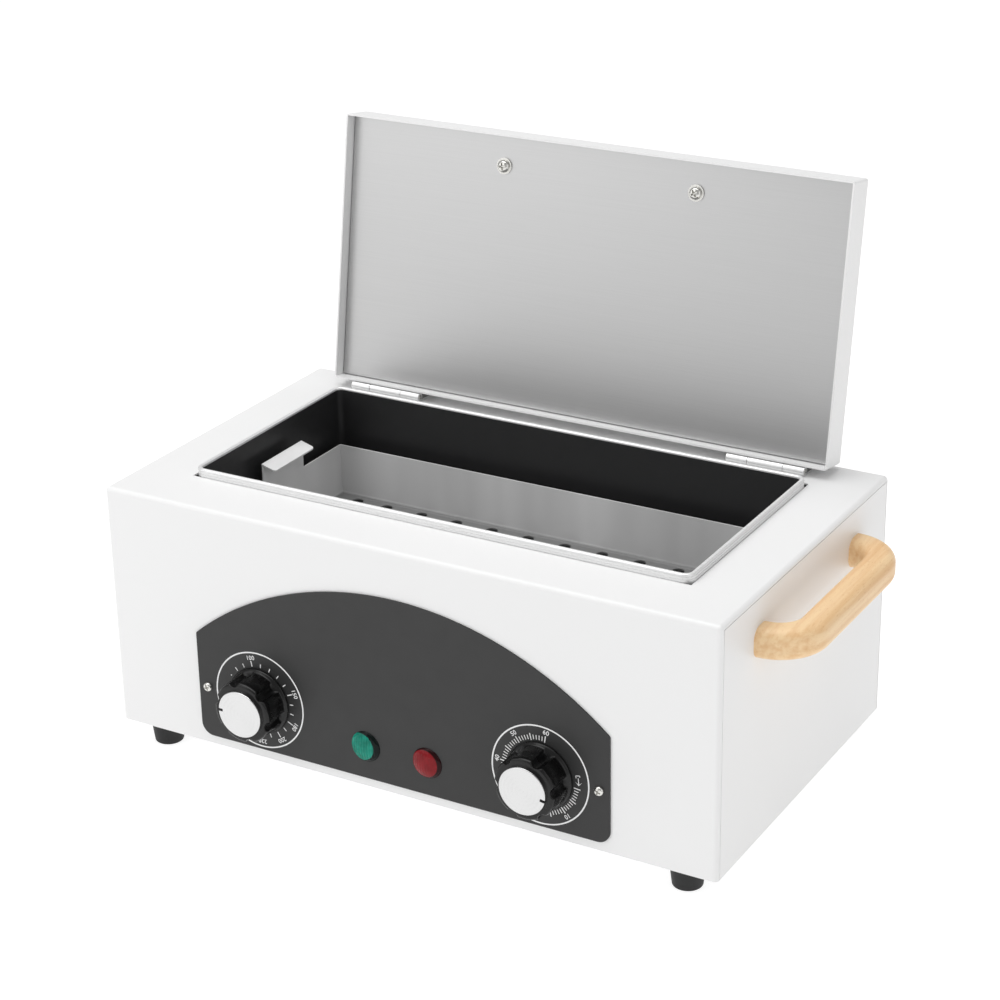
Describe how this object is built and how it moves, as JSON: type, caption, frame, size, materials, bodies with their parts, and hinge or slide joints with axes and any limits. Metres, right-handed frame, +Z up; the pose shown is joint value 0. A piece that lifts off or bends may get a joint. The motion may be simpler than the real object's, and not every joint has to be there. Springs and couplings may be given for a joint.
{
  "type": "dry heat sterilizer",
  "caption": "Bench dry heat sterilizer: white steel casing with wooden side handles, hinged insulated lid, heated tank with a lift-out tray, thermostat and timer knobs.",
  "frame": {"origin": "on the bench, under the middle of the casing", "axes": "+X to the right seen from the front, +Y to the back, +Z up"},
  "size_m": [0.416, 0.2712, 0.3073],
  "materials": {
    "painted_steel": "smooth white powder coat",
    "zinc_sheet": "zinc coated sheet",
    "stainless_sheet": "fine brushed stainless",
    "tank_enamel": "dark baked coat",
    "plated_steel": "bright plated",
    "foot_rubber": "matte black",
    "mineral_wool": "pale pressed wool",
    "mica": "mica sheet",
    "ceramic": "glazed ceramic",
    "phenolic": "black moulding",
    "panel_enamel": "satin charcoal",
    "knob_plastic": "glossy black",
    "spun_aluminium": "spun face",
    "green_lens": "ribbed clear moulding",
    "red_lens": "domed clear moulding",
    "handle_wood": "smooth pale beech",
    "brass": "bare",
    "fuse_glass": "clear with plated ends"
  },
  "bodies": {
    "housing": {"base_plate": "zinc_sheet", "base_screws": "plated_steel", "chamber_insulation": "mineral_wool", "chamber_jacket": "zinc_sheet", "earth_stud": "plated_steel", "foot_front_left": "foot_rubber", "foot_front_right": "foot_rubber", "foot_nuts": "plated_steel", "foot_rear_left": "foot_rubber", "foot_rear_right": "foot_rubber", "foot_screws": "plated_steel", "front_panel": "panel_enamel", "heater_clamp": "zinc_sheet", "heater_element": "mica", "heater_nuts": "plated_steel", "heater_studs": "plated_steel", "hinge_base_rivets": "plated_steel", "hinge_left_base_leaf": "plated_steel", "hinge_pins": "plated_steel", "hinge_right_base_leaf": "plated_steel", "inlet_housing": "phenolic", "inlet_pins": "brass", "inlet_screws": "plated_steel", "inner_tank": "tank_enamel", "lamp_barrels": "phenolic", "lamp_lens_green": "green_lens", "lamp_lens_red": "red_lens", "outer_shell": "painted_steel", "panel_screws": "plated_steel", "side_handle_left": "handle_wood", "side_handle_right": "handle_wood", "side_handle_screws": "plated_steel", "side_panel_left": "painted_steel", "side_panel_right": "painted_steel", "spindle_nuts": "plated_steel", "tank_rim": "stainless_sheet", "terminal_block": "ceramic", "thermal_cutout": "phenolic", "thermostat_body": "phenolic", "thermostat_capillary": "brass", "timer_body": "phenolic"},
    "lid": {"lid_shell": "painted_steel", "lid_liner": "stainless_sheet", "lid_insulation": "mineral_wool", "lid_handle": "handle_wood", "lid_handle_screws": "plated_steel", "lid_handle_washers": "plated_steel", "hinge_left_lid_leaf": "plated_steel", "hinge_right_lid_leaf": "plated_steel", "hinge_lid_rivets": "plated_steel"},
    "lift_out_tray": {"tray": "stainless_sheet"},
    "temperature_dial": {"temperature_knob": "knob_plastic", "temperature_knob_cap": "spun_aluminium", "thermostat_shaft": "plated_steel"},
    "timer_dial": {"timer_knob": "knob_plastic", "timer_knob_cap": "spun_aluminium", "timer_shaft": "plated_steel"},
    "fuse_slide": {"fuse_drawer": "phenolic", "fuse": "fuse_glass"}
  },
  "joints": [
    {"name": "lid_hinge", "type": "hinge", "parent": "housing", "child": "lid", "pos_m": [0, 0.0807, 0.1538], "axis": [-1, 0, 0], "range_deg": [-99, 0]},
    {"name": "tray_lift", "type": "slide", "parent": "housing", "child": "lift_out_tray", "axis": [0, 0, 1], "range_m": [0, 0.09]},
    {"name": "temperature_turn", "type": "hinge", "parent": "housing", "child": "temperature_dial", "pos_m": [-0.08615, -0.104, 0.0476], "axis": [0, 1, 0], "range_deg": [0, 266]},
    {"name": "timer_turn", "type": "hinge", "parent": "housing", "child": "timer_dial", "pos_m": [0.08285, -0.104, 0.0476], "axis": [0, 1, 0], "range_deg": [0, 272]},
    {"name": "fuse_pull", "type": "slide", "parent": "housing", "child": "fuse_slide", "axis": [0, 1, 0], "range_m": [0, 0.02]}
  ]
}
